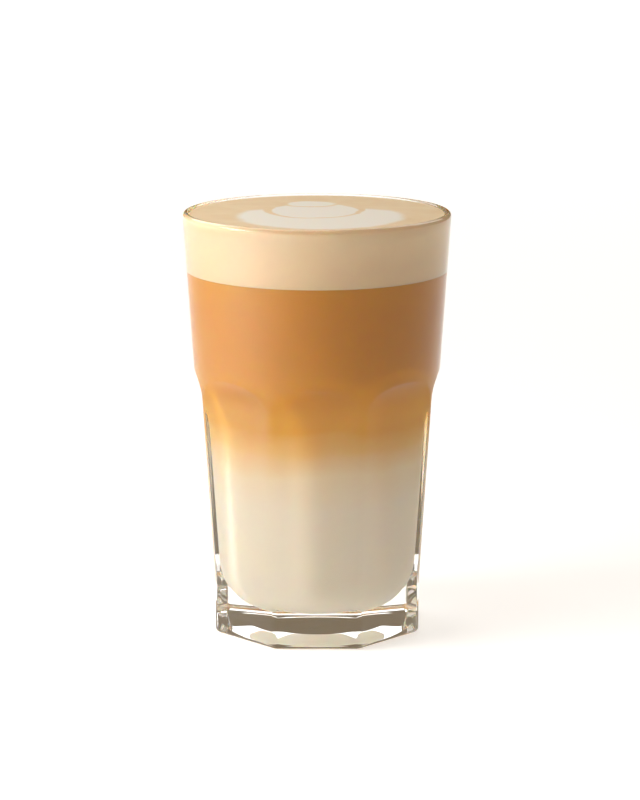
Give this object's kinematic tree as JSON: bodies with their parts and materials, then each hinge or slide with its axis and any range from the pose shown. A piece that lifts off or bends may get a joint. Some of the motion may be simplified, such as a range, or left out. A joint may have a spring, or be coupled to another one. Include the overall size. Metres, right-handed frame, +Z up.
{
  "type": "latte",
  "caption": "Caffe latte with milk, coffee and foam layers, served in its tall faceted glass tumbler with a thick base and a rounded rim.",
  "frame": {"origin": "centre of the foot, on the surface that the glass stands on", "axes": "+Z up along the glass's axis; one facet faces -Y"},
  "size_m": [0.0884, 0.0884, 0.14],
  "materials": {
    "glass": "clear pressed soda-lime glass, fire-polished",
    "milk": "opaque liquid, wetting the glass",
    "coffee": "opaque liquid, wetting the glass",
    "foam": "fine milk foam, satin"
  },
  "bodies": {
    "root": {"glass": "glass", "milk": "milk", "coffee": "coffee", "foam": "foam"}
  },
  "joints": []
}
